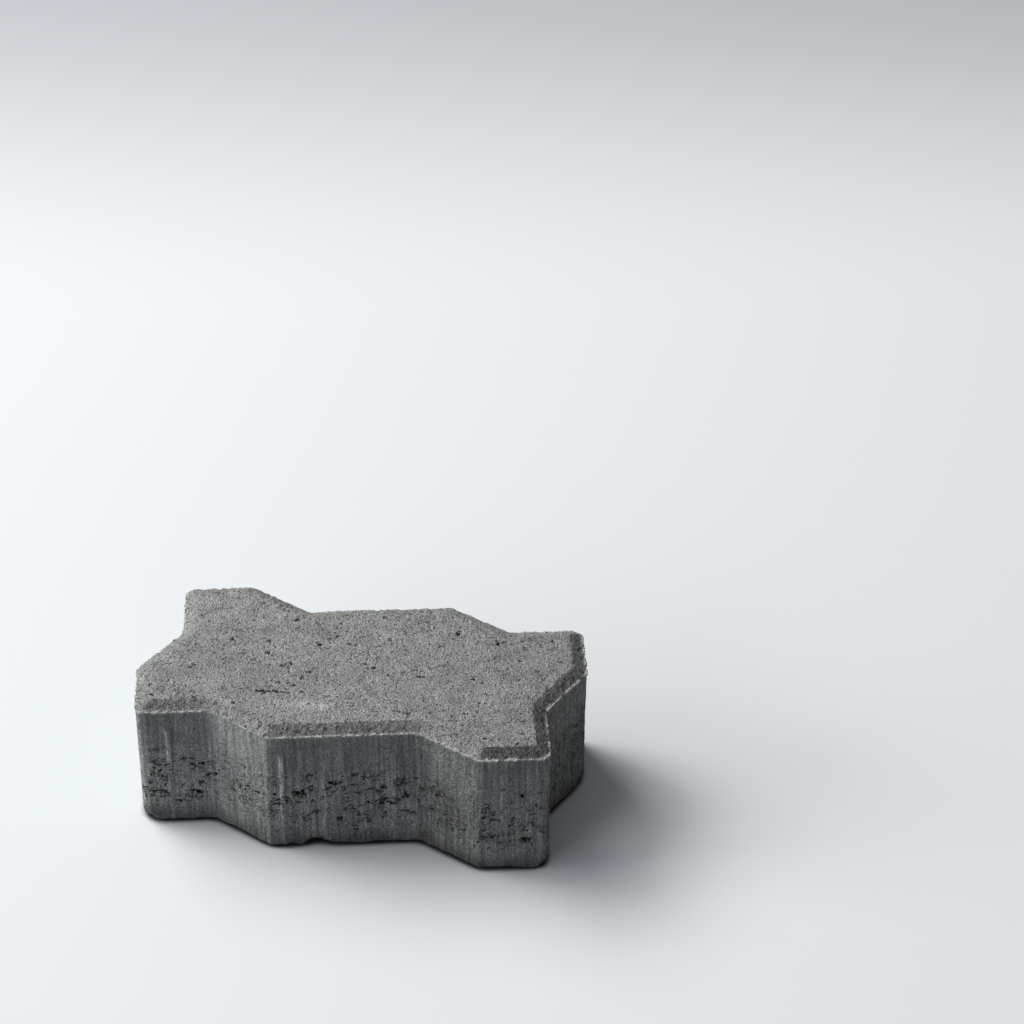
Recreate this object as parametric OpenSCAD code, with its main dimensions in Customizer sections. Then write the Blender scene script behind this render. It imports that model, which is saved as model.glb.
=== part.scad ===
// Interlocking concrete paving stone with zigzag sides, cast in one piece.
// Millimetres, +Z up, origin at the middle of the bed face, long side along X.

/* [Laying grid] */
// Distance from one laid stone to the next along X
grid_length = 225; // [200:0.5:250]
// Distance from one laid stone to the next along Y
grid_width = 112.5; // [100:0.5:125]
// Open joint left between two laid stones
joint = 3; // [1:0.5:6]

/* [Stone] */
// Thickness from the bed face to the wearing face
thickness = 80; // [60:1:120]
// Half the run of each slanted flank, measured along its side
flank_run = 17.5; // [14:0.5:21]
// How far the zigzag swings to either side of the grid line
swing = 8.5; // [4:0.5:11]
// Radius of the four corners in plan
corner_radius = 6; // [3:0.5:12]
// Radius of the zigzag's bends in plan
bend_radius = 10; // [3:0.5:14]

/* [Chamfer] */
// Width of the chamfer around the wearing face
chamfer_width = 7; // [3:0.5:10]
// Height of the chamfer around the wearing face
chamfer_height = 4; // [2:0.5:8]
// Smallest radius on the outline of the wearing face
face_radius = 3; // [1:0.5:4]

/* [Spacer ribs] */
// Radius of a rib's round nose
rib_radius = 1.75; // [1.25:0.25:3]
// How far a rib stands out from its side
rib_reach = 1.25; // [0.75:0.25:2]
// Length of the tapered tip at the top of a rib
rib_tip = 5; // [2:0.5:10]
// Distance from the wearing face down to the tip of a rib
rib_drop = 16; // [12:1:30]
// Rib on the first flat of a long side, from the stone's corner
outer_rib_at = 16.5; // [10:0.5:28]
// Rib on the middle flat of a long side, from the bend at its start
near_rib_at = 7.5; // [6:0.5:30]
// Rib on the middle flat of a long side, from the bend at its end
far_rib_at = 13; // [6:0.5:30]
// Rib on a short side, from the bend next to it
end_rib_at = 13; // [8:0.5:28]

/* [Wear] */
// How deep the tears in the sides and the wearing face go
tear_depth = 1.75; // [0.5:0.25:3]
// Size of a tear's floor as a share of its mouth
tear_floor = 0.6; // [0.3:0.05:0.9]

/* [Hidden] */
arc_steps = 6;
rib_facets = 32;
half_length = grid_length / 2;
half_width = grid_width / 2;
tooth = grid_length / 4;

// How far a cut runs past the stone, as a share of its own size
overcut = 0.2;

// Size of the block that takes a worn foot away, as a multiple of the wear
wear_block = 4;

// Half of the outline on the grid lines, counterclockwise from the front left corner
half_outline = [
    [-half_length, -half_width],
    [-tooth - flank_run, swing - half_width],
    [-tooth + flank_run, -swing - half_width],
    [tooth - flank_run, swing - half_width],
    [tooth + flank_run, -swing - half_width],
    [half_length, -half_width],
    [half_length - swing, -flank_run],
    [half_length + swing, flank_run]
];

// Plan radius at each of those points
half_radii = [
    corner_radius,
    bend_radius,
    bend_radius,
    bend_radius,
    bend_radius,
    corner_radius,
    bend_radius,
    bend_radius
];

// The other half is the same, turned half a turn about the middle
outline = concat(half_outline, [for (point = half_outline) -point]);
radii = concat(half_radii, half_radii);
sides = len(outline);

// Sides that carry ribs, by their place in the outline
first_flat = 0;
middle_flat = 2;
end_flat = 7;

// Points of the outline whose foot is worn away, and how far
worn_feet = [[0, 6], [5, 4], [7, 3], [8, 3], [13, 3.5]];

// Main tears in the sides of each half: side, share of that side, share of the thickness, length, height
side_tears = [
    [0, 0.67, 0.55, 6.5, 1.6],
    [0, 0.86, 0.50, 3.2, 2],
    [0, 0.85, 0.34, 3.4, 2.6],
    [0, 0.77, 0.26, 4.5, 3.6],
    [0, 0.34, 0.39, 2.4, 3.2],
    [0, 0.30, 0.22, 3, 2],
    [0, 0.56, 0.18, 6, 1.8],
    [1, 0.22, 0.50, 2.2, 1.6],
    [1, 0.36, 0.36, 2.4, 1.6],
    [1, 0.57, 0.21, 2.6, 1.6],
    [1, 0.80, 0.44, 3.6, 2.2],
    [2, 0.20, 0.475, 6.4, 3.6],
    [2, 0.28, 0.625, 3.2, 3],
    [2, 0.30, 0.40, 2.6, 1.6],
    [2, 0.32, 0.31, 4, 1.6],
    [2, 0.45, 0.55, 7.4, 1.6],
    [2, 0.47, 0.24, 3.6, 2.6],
    [2, 0.58, 0.615, 3.4, 1.8],
    [2, 0.58, 0.14, 2.6, 1.6],
    [2, 0.61, 0.46, 3.2, 1.6],
    [2, 0.69, 0.49, 4, 3.2],
    [2, 0.77, 0.275, 1.8, 3],
    [2, 0.90, 0.53, 2.6, 2],
    [2, 0.91, 0.41, 4, 3],
    [2, 0.91, 0.29, 5.6, 1.8],
    [3, 0.30, 0.49, 2, 2.6],
    [3, 0.43, 0.35, 2, 2],
    [3, 0.49, 0.50, 2.2, 1.6],
    [3, 0.65, 0.39, 2, 1.8],
    [4, 0.22, 0.30, 2.8, 2.2],
    [4, 0.24, 0.44, 6.2, 1.8],
    [4, 0.35, 0.70, 2.4, 1.6],
    [4, 0.61, 0.64, 2, 2.4],
    [4, 0.66, 0.26, 5.4, 4],
    [4, 0.66, 0.35, 2.8, 2],
    [5, 0.45, 0.40, 3, 1.8],
    [6, 0.31, 0.525, 2.6, 1.6],
    [6, 0.77, 0.575, 3.2, 2.2],
    [6, 0.51, 0.30, 2.6, 2],
    [7, 0.60, 0.42, 3.2, 2],
    [7, 0.72, 0.25, 2.6, 1.8]
];

// Main tears in the wearing face: shares of the grid from its middle, length, width, turn
face_tears = [
    [-0.33, 0.10, 2.8, 1.8, 30],
    [-0.264, -0.227, 2.6, 1.8, 25],
    [-0.24, 0.116, 2.4, 2, 0],
    [-0.20, -0.26, 9.5, 2.2, 8],
    [-0.19, 0.30, 2.8, 2.4, 30],
    [-0.18, -0.044, 6.2, 2.4, 20],
    [-0.13, -0.136, 2.4, 2, 30],
    [-0.115, 0.132, 2.6, 1.6, 50],
    [-0.077, 0.212, 3.4, 1.6, 10],
    [0.025, -0.008, 5, 1.8, 15],
    [0.147, -0.036, 4, 1.6, 30],
    [0.207, 0.32, 3.4, 1.8, 70],
    [0.27, -0.009, 2.4, 2, 0],
    [0.307, 0.276, 2.8, 1.8, 40]
];

// Unit normal pointing out of the side that starts at a point of the outline
function side_normal(i) =
    let (run = outline[(i + 1) % sides] - outline[i % sides])
    [run.y, -run.x] / norm(run);

// Point of the outline set in from the grid lines by a depth, before rounding
function set_in(i, depth) =
    let (
        before = side_normal(i + sides - 1),
        after = side_normal(i)
    )
    outline[i % sides] - depth * (before + after) / (1 + before * after);

// Length of a side of the stone between its unrounded ends
function side_length(i) = norm(set_in(i + 1, joint / 2) - set_in(i, joint / 2));

// Plan radius at a point, a depth in from the stone's side, negative where the outline bends inwards
function plan_radius(i, turn, depth) =
    turn > 0 ? max(radii[i] - depth, face_radius) : -(radii[i] + depth);

// Arc that rounds one point of the outline, a depth in from the stone's side
function rounded_point(i, depth) =
    let (
        before = side_normal(i + sides - 1),
        after = side_normal(i),
        turn = atan2(cross(before, after), before * after),
        radius = plan_radius(i, turn, depth),
        centre = set_in(i, joint / 2 + depth + radius),
        start = atan2(before.y, before.x)
    )
    [
        for (step = [0 : arc_steps])
            let (angle = start + turn * step / arc_steps)
            centre + radius * [cos(angle), sin(angle)]
    ];

// Whole rounded outline, a depth in from the stone's side
function rounded_outline(depth) = [
    for (i = [0 : sides - 1])
        each rounded_point(i, depth)
];

// Rounded outline raised to a height
function raised(ring, height) = [for (point = ring) [point.x, point.y, height]];

// Wedge all round the top edge that the chamfer takes away, run past the stone's faces
module chamfer_cut() {
    arris = raised(rounded_outline(0), thickness - chamfer_height);
    edge = raised(rounded_outline(chamfer_width), thickness);
    size = len(arris);
    low = [for (i = [0 : size - 1]) arris[i] + overcut * (arris[i] - edge[i])];
    high = [for (i = [0 : size - 1]) edge[i] + overcut * (edge[i] - arris[i])];
    above = raised(low, high[0].z);
    rings = [low, above, high];
    faces = [
        for (ring = [0 : len(rings) - 1])
            for (i = [0 : size - 1])
                let (
                    here = ring * size,
                    there = (ring + 1) % len(rings) * size,
                    next = (i + 1) % size
                )
                [here + i, there + i, there + next, here + next]
    ];
    polyhedron(points = concat(low, above, high), faces = faces);
}

// Block that slants off the foot below one point of the outline
module foot_cut(i, wear) {
    outward = side_normal(i + sides - 1) + side_normal(i);
    tip = set_in(i, joint / 2 + radii[i]) + radii[i] * outward / norm(outward);
    size = wear_block * wear;
    translate([tip.x, tip.y, wear])
        rotate([0, 45, atan2(outward.y, outward.x)])
            translate([0, -size / 2, -size / 2])
                cube(size);
}

// Torn hole that narrows inwards along Y from its mouth in the XZ plane
module tear(length, height) {
    mouth = [
        [length / 2, 0],
        [length / 4, height / 2],
        [-length / 4, height / 2],
        [-length / 2, 0],
        [-length / 4, -height / 2],
        [length / 4, -height / 2]
    ];
    size = len(mouth);
    wide = 1 + overcut * (1 - tear_floor);
    outer = [for (point = mouth) [point.x * wide, -overcut * tear_depth, point.y * wide]];
    inner = [for (point = mouth) [point.x * tear_floor, tear_depth, point.y * tear_floor]];
    polyhedron(
        points = concat(outer, inner),
        faces = [
            [for (i = [size - 1 : -1 : 0]) i],
            [for (i = [0 : size - 1]) size + i],
            for (i = [0 : size - 1]) [i, (i + 1) % size, size + (i + 1) % size, size + i]
        ]
    );
}

// Tear in a side, at a share of that side and of the thickness
module side_tear(side, along, up, length, height) {
    from = set_in(side, joint / 2);
    run = set_in(side + 1, joint / 2) - from;
    middle = from + along * run;
    translate([middle.x, middle.y, up * thickness])
        rotate(atan2(run.y, run.x))
            tear(length, height);
}

// Tear in the wearing face, at shares of the grid from its middle
module face_tear(along, across, length, width, turn) {
    translate([along * grid_length, across * grid_width, thickness])
        rotate([-90, 0, turn])
            tear(length, width);
}

// Upright rib with a tapered tip, on one side of the stone at a distance from that side's start
module spacer_rib(side, distance) {
    from = set_in(side, joint / 2);
    to = set_in(side + 1, joint / 2);
    along = (to - from) / norm(to - from);
    axis = from + distance * along - (rib_radius - rib_reach) * side_normal(side);
    shoulder = thickness - rib_drop - rib_tip;
    translate(axis)
        cylinder(h = shoulder, r = rib_radius, $fn = rib_facets);
    translate([axis.x, axis.y, shoulder])
        cylinder(h = rib_tip, r1 = rib_radius, r2 = rib_radius - rib_reach, $fn = rib_facets);
}

// The whole stone, with the same ribs on opposite sides
module paving_stone() {
    color([0.46, 0.46, 0.45])
        union() {
            difference() {
                linear_extrude(thickness)
                    polygon(rounded_outline(0));
                chamfer_cut();
                for (foot = worn_feet)
                    foot_cut(foot[0], foot[1]);
                for (turn = [0, 180], hole = side_tears)
                    rotate(turn)
                        side_tear(hole[0], hole[1], hole[2], hole[3], hole[4]);
                for (hole = face_tears)
                    face_tear(hole[0], hole[1], hole[2], hole[3], hole[4]);
            }
            for (turn = [0, 180])
                rotate(turn) {
                    spacer_rib(first_flat, outer_rib_at);
                    spacer_rib(middle_flat, near_rib_at);
                    spacer_rib(middle_flat, side_length(middle_flat) - far_rib_at);
                    spacer_rib(end_flat, end_rib_at);
                }
        }
}

paving_stone();
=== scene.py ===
import math
from types import SimpleNamespace
import bpy
import numpy as np
from mathutils import Matrix, Vector
from mathutils.kdtree import KDTree


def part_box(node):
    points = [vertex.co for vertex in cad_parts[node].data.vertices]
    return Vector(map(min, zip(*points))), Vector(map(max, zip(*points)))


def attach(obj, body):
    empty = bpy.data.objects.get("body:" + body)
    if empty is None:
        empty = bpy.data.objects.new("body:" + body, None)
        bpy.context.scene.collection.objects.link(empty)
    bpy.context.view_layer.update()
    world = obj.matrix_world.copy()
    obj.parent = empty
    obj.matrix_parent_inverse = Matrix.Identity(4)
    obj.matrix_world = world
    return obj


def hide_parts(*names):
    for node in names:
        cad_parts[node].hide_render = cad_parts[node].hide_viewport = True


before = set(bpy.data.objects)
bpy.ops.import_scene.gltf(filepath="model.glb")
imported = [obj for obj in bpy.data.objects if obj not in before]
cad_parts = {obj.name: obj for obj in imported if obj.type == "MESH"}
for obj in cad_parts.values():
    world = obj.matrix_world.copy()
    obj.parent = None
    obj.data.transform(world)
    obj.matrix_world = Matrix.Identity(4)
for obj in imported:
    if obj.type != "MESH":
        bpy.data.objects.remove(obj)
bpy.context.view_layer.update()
mm = 0.001
stoneLow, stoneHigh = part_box("paving_stone")
stoneTop = stoneHigh[2] / mm
print("frame loaded, stone", [round((b - a) / mm, 1) for a, b in zip(stoneLow, stoneHigh)], "mm")

# plan and section of the cast stone, in millimetres
stone = {
    "gridLength": 225.0,
    "gridWidth": 112.5,
    "joint": 3.0,
    "flankRun": 17.5,
    "swing": 8.5,
    "cornerRadius": 6.0,
    "bendRadius": 10.0,
    "edgeRadius": 6.0,      # bends that stand out, a little crisper
    "faceRadius": 3.0,      # tightest corner of the wearing face
    "chamferWidth": 7.0,
    "chamferHeight": 4.0,
    "chamferBlend": 1.4,    # softness where the chamfer meets the wearing face
    "cell": 0.5,            # spacing of the first mesh
    "triangles": 196000,    # what the finished mesh keeps
    "seed": 7,
}
arrisHeight = stoneTop - stone["chamferHeight"]

# how light each place is against the plain concrete: the eight near sides, then the eight far ones. The
# near sides and their chamfers are partly the concrete's own tone and partly painted light and shade,
# lighter or darker by which way each one faces the lamps
tones = {
    "sides": [0.86, 1.10, 0.78, 0.69, 0.75, 1.25, 1.29, 1.25,
              1.0, 1.1, 0.95, 1.1, 1.0, 1.1, 1.0, 1.1],
    "chamfers": [0.73, 0.90, 0.61, 0.88, 0.36, 0.44, 0.58, 0.54,
                 1.0, 1.0, 1.0, 1.0, 1.0, 0.95, 1.0, 0.9],
    # painted light and shade low on each side: lighter on the long flat faces, darker on the near flanks
    # and the right end
    "lower": [0.19, -0.22, 0.14, -0.10, 0.12, -0.22, -0.26, -0.22,     # added low on a side
              0.1, 0.0, 0.1, 0.0, 0.1, 0.0, 0.0, 0.0],
    "lowerBand": (62.0, 42.0),
    # painted shade at the foot, where the worn edge meets the floor
    "foot": 0.52,           # lost at the foot
    "footBand": (15.0, 1.5),
    # painted shade inside the voids: the share of tone left where a void is deepest
    "hollowShade": 0.12,         # left inside a void
}


def smoothStep(low, high, value):
    t = np.clip((value - low) / (high - low), 0.0, 1.0)
    return t * t * (3.0 - 2.0 * t)


# one whole number for each lattice cell
def cellNumber(cells, seed):
    h = cells[:, 0] * 73856093 ^ cells[:, 1] * 19349663 ^ cells[:, 2] * 83492791 ^ (seed * 2654435761)
    h = (h ^ (h >> 13)) * 1274126177 & 0x7FFFFFFF
    h = (h ^ (h >> 15)) * 668265263 & 0x7FFFFFFF
    return h ^ (h >> 16)


# gradient noise on a lattice, about -1 to 1, the same every run
def grain(points, size, seed):
    q = points / np.asarray(size, dtype=float)
    base = np.floor(q).astype(np.int64)
    part = q - base
    fade = part ** 3 * (part * (part * 6.0 - 15.0) + 10.0)
    total = np.zeros(len(q))
    for corner in range(8):
        step = np.array([corner & 1, corner >> 1 & 1, corner >> 2 & 1])
        h = cellNumber(base + step, seed)
        angle = (h & 0xFFFF) * (2.0 * math.pi / 65536.0)
        lift = (h >> 16 & 0x7FFF) / 16384.0 - 1.0
        flat = np.sqrt(np.maximum(0.0, 1.0 - lift * lift))
        away = part - step
        slope = away[:, 0] * flat * np.cos(angle) + away[:, 1] * flat * np.sin(angle) + away[:, 2] * lift
        total += np.where(step, fade, 1.0 - fade).prod(axis=1) * slope
    return total * 1.6


# corners of the zigzag plan on the laying grid, counterclockwise from the front left
def planCorners():
    halfL = stone["gridLength"] / 2
    halfW = stone["gridWidth"] / 2
    tooth = stone["gridLength"] / 4
    run = stone["flankRun"]
    swing = stone["swing"]
    half = [
        (-halfL, -halfW),
        (-tooth - run, swing - halfW),
        (-tooth + run, -swing - halfW),
        (tooth - run, swing - halfW),
        (tooth + run, -swing - halfW),
        (halfL, -halfW),
        (halfL - swing, -run),
        (halfL + swing, run),
    ]
    return np.array(half + [(-x, -y) for x, y in half])


corners = planCorners()
cornerCount = len(corners)
trueCorners = [0, 5, 8, 13]
sideRun = np.roll(corners, -1, axis=0) - corners
sideDir = sideRun / np.linalg.norm(sideRun, axis=1)[:, None]
sideOut = np.stack([sideDir[:, 1], -sideDir[:, 0]], axis=1)
outBefore = np.roll(sideOut, 1, axis=0)
turnAt = np.arctan2(
    outBefore[:, 0] * sideOut[:, 1] - outBefore[:, 1] * sideOut[:, 0],
    (outBefore * sideOut).sum(axis=1))
startAt = np.arctan2(outBefore[:, 1], outBefore[:, 0])
mitre = (outBefore + sideOut) / (1.0 + (outBefore * sideOut).sum(axis=1))[:, None]
cornerRadius = np.where(turnAt > 0, stone["edgeRadius"], stone["bendRadius"])
cornerRadius[trueCorners] = stone["cornerRadius"]
faceCorner = corners - stone["joint"] / 2 * mitre     # unrounded corners of the stone itself


# point and outward direction of the rounded plan, a depth in from the side, at a corner or between two
def arcPoint(i, part, depth):
    standing = np.maximum(cornerRadius[i] - depth, stone["faceRadius"])
    radius = np.where(turnAt[i] > 0, standing, -(cornerRadius[i] + depth))
    angle = startAt[i] + turnAt[i] * part
    out = np.stack([np.cos(angle), np.sin(angle)], axis=-1)
    inset = stone["joint"] / 2 + depth + radius
    return corners[i] - inset[..., None] * mitre[i] + radius[..., None] * out, out


# columns of the wall, spread evenly along each of the four sides from corner to corner
def layColumns():
    kinds, places, parts, counts = [], [], [], []
    for first, last in zip(trueCorners, trueCorners[1:] + [cornerCount]):
        pieces = []
        for i in range(first, last + 1):
            k = i % cornerCount
            low, high = (0.5, 1.0) if i == first else (0.0, 0.5) if i == last else (0.0, 1.0)
            pieces.append((0, k, low, high, abs(turnAt[k]) * cornerRadius[k] * (high - low)))
            if i < last:
                n = (k + 1) % cornerCount
                a = arcPoint(np.array([k]), 1.0, np.zeros(1))[0]
                b = arcPoint(np.array([n]), 0.0, np.zeros(1))[0]
                pieces.append((1, k, 0.0, 1.0, float(np.linalg.norm(b - a))))
        total = sum(piece[4] for piece in pieces)
        count = int(round(total / stone["cell"]))
        counts.append(count)
        marks = np.arange(count) * total / count
        ends = np.cumsum([piece[4] for piece in pieces])
        which = np.searchsorted(ends, marks, side="right")
        for mark, w in zip(marks, which):
            kind, k, low, high, length = pieces[w]
            parts.append(low + (high - low) * (mark - ends[w] + length) / length)
            kinds.append(kind)
            places.append(k)
    return np.array(kinds), np.array(places), np.array(parts), counts[0], counts[1]


columnKind, columnPlace, columnPart, longCount, shortCount = layColumns()
columnCount = len(columnKind)
print("wall columns", columnCount, "long", longCount, "short", shortCount)


# the rounded plan at a depth, which may differ from column to column
def ringAt(depth):
    depth = np.broadcast_to(np.asarray(depth, dtype=float), (columnCount,))
    after = (columnPlace + 1) % cornerCount
    arc, arcOut = arcPoint(columnPlace, columnPart, depth)
    lineStart = arcPoint(columnPlace, 1.0, depth)[0]
    lineEnd = arcPoint(after, 0.0, depth)[0]
    line = lineStart + (lineEnd - lineStart) * columnPart[:, None]
    isArc = (columnKind == 0)[:, None]
    return np.where(isArc, arc, line), np.where(isArc, arcOut, sideOut[columnPlace])


# values round the ring of columns, blurred over a few of them
def blurRing(values, width):
    window = np.hanning(width)
    reach = (width - 3) // 2
    ring = np.concatenate([values[-reach:], values, values[:reach]])
    return np.convolve(ring, window[1:-1] / window.sum(), mode="valid")


# a value of each side, blended round the bends, for so many points of the wall's rows
def sideValues(values, count):
    values = np.array(values)
    blend = np.where(columnKind == 0, smoothStep(0.0, 0.8, columnPart), 1.0)
    spread = values[columnPlace - 1] * (1.0 - blend) + values[columnPlace] * blend
    return np.resize(blurRing(spread, 9), count)


# rows of the wall: close at the foot, even up the side, close again at the arris and on the chamfer
wallRows = {
    "foot": [0.0, 0.12, 0.3, 0.55, 0.85, 1.2, 1.6],
    "evenFrom": 2.1,
    "closeBand": 1.5,                 # height of the close rows below the arris
    "closeStep": 0.32,
    "chamfer": [0.0, 0.03, 0.07, 0.11, 0.16, 0.21] + list(np.linspace(0.27, 1.0, 13)),
    "arrisFacing": (0.75, 0.66),      # out and up, right on the arris
    "arrisShare": 0.11,               # share of the chamfer over which it turns
}


# levels of the wall from the bed face up: depth, height and which way its surface faces
def wallLevels():
    close = arrisHeight - wallRows["closeBand"]
    heights = wallRows["foot"] + list(np.arange(wallRows["evenFrom"], close - 0.1, stone["cell"]))
    heights += list(np.arange(close, arrisHeight - 0.01, wallRows["closeStep"]))
    levels = [(0.0, z, 1.0, 0.0) for z in heights]
    slope = math.hypot(stone["chamferWidth"], stone["chamferHeight"])
    outPart = stone["chamferHeight"] / slope
    upPart = stone["chamferWidth"] / slope
    arrisOut, arrisUp = wallRows["arrisFacing"]
    for t in wallRows["chamfer"]:
        mix = min(1.0, t / wallRows["arrisShare"])
        out = arrisOut + (outPart - arrisOut) * mix
        up = arrisUp + (upPart - arrisUp) * mix
        levels.append((t * stone["chamferWidth"], arrisHeight + t * stone["chamferHeight"], out, up))
    return np.array(levels)


# soft join of the chamfer with the wearing face
def faceHeight(depth):
    blend = stone["chamferBlend"]
    slope = stoneTop - stone["chamferHeight"] + depth * stone["chamferHeight"] / stone["chamferWidth"]
    h = np.clip(0.5 + 0.5 * (stoneTop - slope) / blend, 0.0, 1.0)
    return stoneTop + (slope - stoneTop) * h - blend * h * (1.0 - h)


# worn lower edge, and its broken places: side, distance from its start, length, height
foot = {
    "radius": 2.9,
    "least": 0.7,
    "curve": (1.3, 2.0),            # along the sides, at the corners: 1 is a flat bevel, 2 is round
    "cornerReach": (22.0, 12.0),    # from a corner, where its curve begins and where it is full
    "bedRim": 12.0,                 # width of the bed face's rim, past the deepest wear
    "rimRows": 15,
    "chips": [
        (0, 0.5, 22.0, 9.5), (2, 25.0, 21.0, 8.0), (4, 16.0, 9.0, 3.6), (4, 39.0, 17.0, 8.5),
        (6, 36.0, 14.0, 6.0), (1, 12.0, 7.0, 2.6), (3, 30.0, 9.0, 2.8), (9, 20.0, 9.0, 3.0),
        (11, 12.0, 12.0, 3.6), (13, 1.0, 12.0, 6.0), (8, 2.0, 12.0, 5.0), (14, 20.0, 8.0, 2.6),
    ],
}


# how high the lower edge is worn, column by column
def footWear():
    spot = ringAt(0.0)[0]
    at = np.column_stack([spot, np.zeros(columnCount)])
    wear = foot["radius"] * (1.0 + 0.5 * grain(at, 16.0, 31) + 0.25 * grain(at, 6.0, 32))
    for side, along, length, height in foot["chips"]:
        middle = faceCorner[side] + sideDir[side] * along
        near = np.linalg.norm(spot - middle, axis=1) * (1.0 + 0.25 * grain(at, 7.0, 33))
        wear = np.maximum(wear, height * (1.0 - smoothStep(0.1 * length, 0.62 * length, near)))
    return np.maximum(blurRing(wear, 11), foot["least"])


# how round the worn edge is, column by column
def footCurve():
    low, high = foot["curve"]
    apart = ringAt(0.0)[0][:, None] - faceCorner[trueCorners]
    fromCorner = np.linalg.norm(apart, axis=2).min(axis=1)
    return low + (high - low) * smoothStep(*foot["cornerReach"], fromCorner)


# grid that fills a ring, worked out from its four sides
def fillGrid(ring):
    a = ring[:longCount + 1]
    b = ring[longCount:longCount + shortCount + 1]
    c = ring[longCount + shortCount:2 * longCount + shortCount + 1][::-1]
    d = np.vstack([ring[2 * longCount + shortCount:], ring[:1]])[::-1]
    u = np.linspace(0.0, 1.0, longCount + 1)[:, None, None]
    v = np.linspace(0.0, 1.0, shortCount + 1)[None, :, None]
    sides = (1 - v) * a[:, None] + v * c[:, None] + (1 - u) * d[None] + u * b[None]
    ends = (1 - u) * (1 - v) * a[0] + u * (1 - v) * a[-1] + (1 - u) * v * c[0] + u * v * c[-1]
    return sides - ends


# numbers of the grid's points, where its rim is a row of the wall
def gridNumbers(rim, firstInner):
    numbers = np.zeros((longCount + 1, shortCount + 1), dtype=np.int64)
    inner = np.arange((longCount - 1) * (shortCount - 1)).reshape(longCount - 1, shortCount - 1)
    numbers[1:-1, 1:-1] = firstInner + inner
    numbers[:, 0] = rim[:longCount + 1]
    numbers[-1, :] = rim[longCount:longCount + shortCount + 1]
    numbers[:, -1] = rim[longCount + shortCount:2 * longCount + shortCount + 1][::-1]
    numbers[0, :] = np.append(rim[2 * longCount + shortCount:], rim[0])[::-1]
    return numbers


# four-sided faces between the points of a grid
def quadsOf(numbers):
    around = [numbers[:-1, :-1], numbers[1:, :-1], numbers[1:, 1:], numbers[:-1, 1:]]
    return np.stack(around, axis=-1).reshape(-1, 4)


# zones of the smooth stone
wallZone, chamferZone, faceZone, bedZone = range(4)


# the smooth stone: points, the way each one faces, its zone, its side's tone with painted light and
# shade, and the faces
def smoothStone():
    wear = footWear()
    curve = footCurve()
    points, facing, zone = [], [], []

    # rim of the bed face, from an even ring out to the worn edge
    for t in np.linspace(1.0, 0.0, foot["rimRows"])[:-1]:
        ring = ringAt(wear + t * (foot["bedRim"] - wear))[0]
        points.append(np.column_stack([ring, np.zeros(columnCount)]))
        facing.append(np.tile([0.0, 0.0, -1.0], (columnCount, 1)))
        zone.append(np.full(columnCount, bedZone))
    for depth, height, out, up in wallLevels():
        under = np.clip((wear - height) / wear, 0.0, 1.0)
        level = (1.0 - under ** curve) ** (1.0 / curve)
        ring, ringOut = ringAt(depth + wear * (1.0 - level))
        z = faceHeight(depth) if depth > 0.5 * stone["chamferWidth"] else height
        points.append(np.column_stack([ring, np.full(columnCount, z)]))
        facing.append(np.column_stack([ringOut * out * level[:, None], up - under]))
        zone.append(np.full(columnCount, chamferZone if up > 0 else wallZone))
    wallCount = len(points) * columnCount
    numbers = np.arange(wallCount).reshape(-1, columnCount)
    wrapped = np.column_stack([numbers, numbers[:, 0]])
    faces = [np.roll(quadsOf(wrapped)[:, ::-1], 1, axis=1)]     # facing out

    # wearing face
    inner = fillGrid(points[-1][:, :2])[1:-1, 1:-1].reshape(-1, 2)
    tree = KDTree(columnCount)
    for i, (x, y) in enumerate(points[-1][:, :2]):
        tree.insert((x, y, 0.0), i)
    tree.balance()
    rimGap = np.array([tree.find((x, y, 0.0))[2] for x, y in inner])
    points.append(np.column_stack([inner, faceHeight(stone["chamferWidth"] + rimGap)]))
    facing.append(np.tile([0.0, 0.0, 1.0], (len(inner), 1)))
    zone.append(np.full(len(inner), faceZone))
    faces.append(quadsOf(gridNumbers(numbers[-1], wallCount)))

    # bed face
    bed = fillGrid(points[0][:, :2])[1:-1, 1:-1].reshape(-1, 2)
    points.append(np.column_stack([bed, np.zeros(len(bed))]))
    facing.append(np.tile([0.0, 0.0, -1.0], (len(bed), 1)))
    zone.append(np.full(len(bed), bedZone))
    faces.append(quadsOf(gridNumbers(numbers[0], wallCount + len(inner)))[:, ::-1])
    facing = np.vstack(facing)
    facing /= np.linalg.norm(facing, axis=1)[:, None]
    zone = np.concatenate(zone)
    tone = np.ones(len(zone))
    # tone of each side, partly painted light and shade
    tone[:wallCount] = sideValues(tones["sides"], wallCount)
    # tone of each chamfer, partly painted shade that darkens the near chamfers
    chamferToneAndShade = sideValues(tones["chamfers"], wallCount)
    tone[:wallCount] = np.where(zone[:wallCount] == chamferZone, chamferToneAndShade, tone[:wallCount])
    return np.vstack(points), facing, zone, tone, np.vstack(faces)


# a side and the one opposite, which is the same turned half round
def bothSides(side):
    return side, (side + cornerCount // 2) % cornerCount


# place of each point along and out from a spot on one side
def besideSide(points, k, along):
    run = np.linalg.norm(faceCorner[(k + 1) % cornerCount] - faceCorner[k])
    middle = faceCorner[k] + sideDir[k] * (along if along > 0 else run + along)
    offset = points[:, :2] - middle
    return offset @ sideDir[k], offset @ sideOut[k]


# depth of a torn void over points given by their place along and across it
def voidDepth(along, across, length, width, at, seed):
    bend = across + 0.40 * width * grain(at, 2.4, seed)
    thick = 0.5 * width * np.clip(0.55 + 0.8 * grain(at, 1.5, seed + 1), 0.12, 1.1)
    ends = smoothStep(0.55, 0.42, np.abs(along + 0.15 * length * grain(at, 2.0, seed + 2)) / length)
    grains = smoothStep(0.55, 0.25, grain(at, 1.3, seed + 5))
    return smoothStep(1.35, 0.65, np.abs(bend) / thick) * ends * grains


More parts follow.
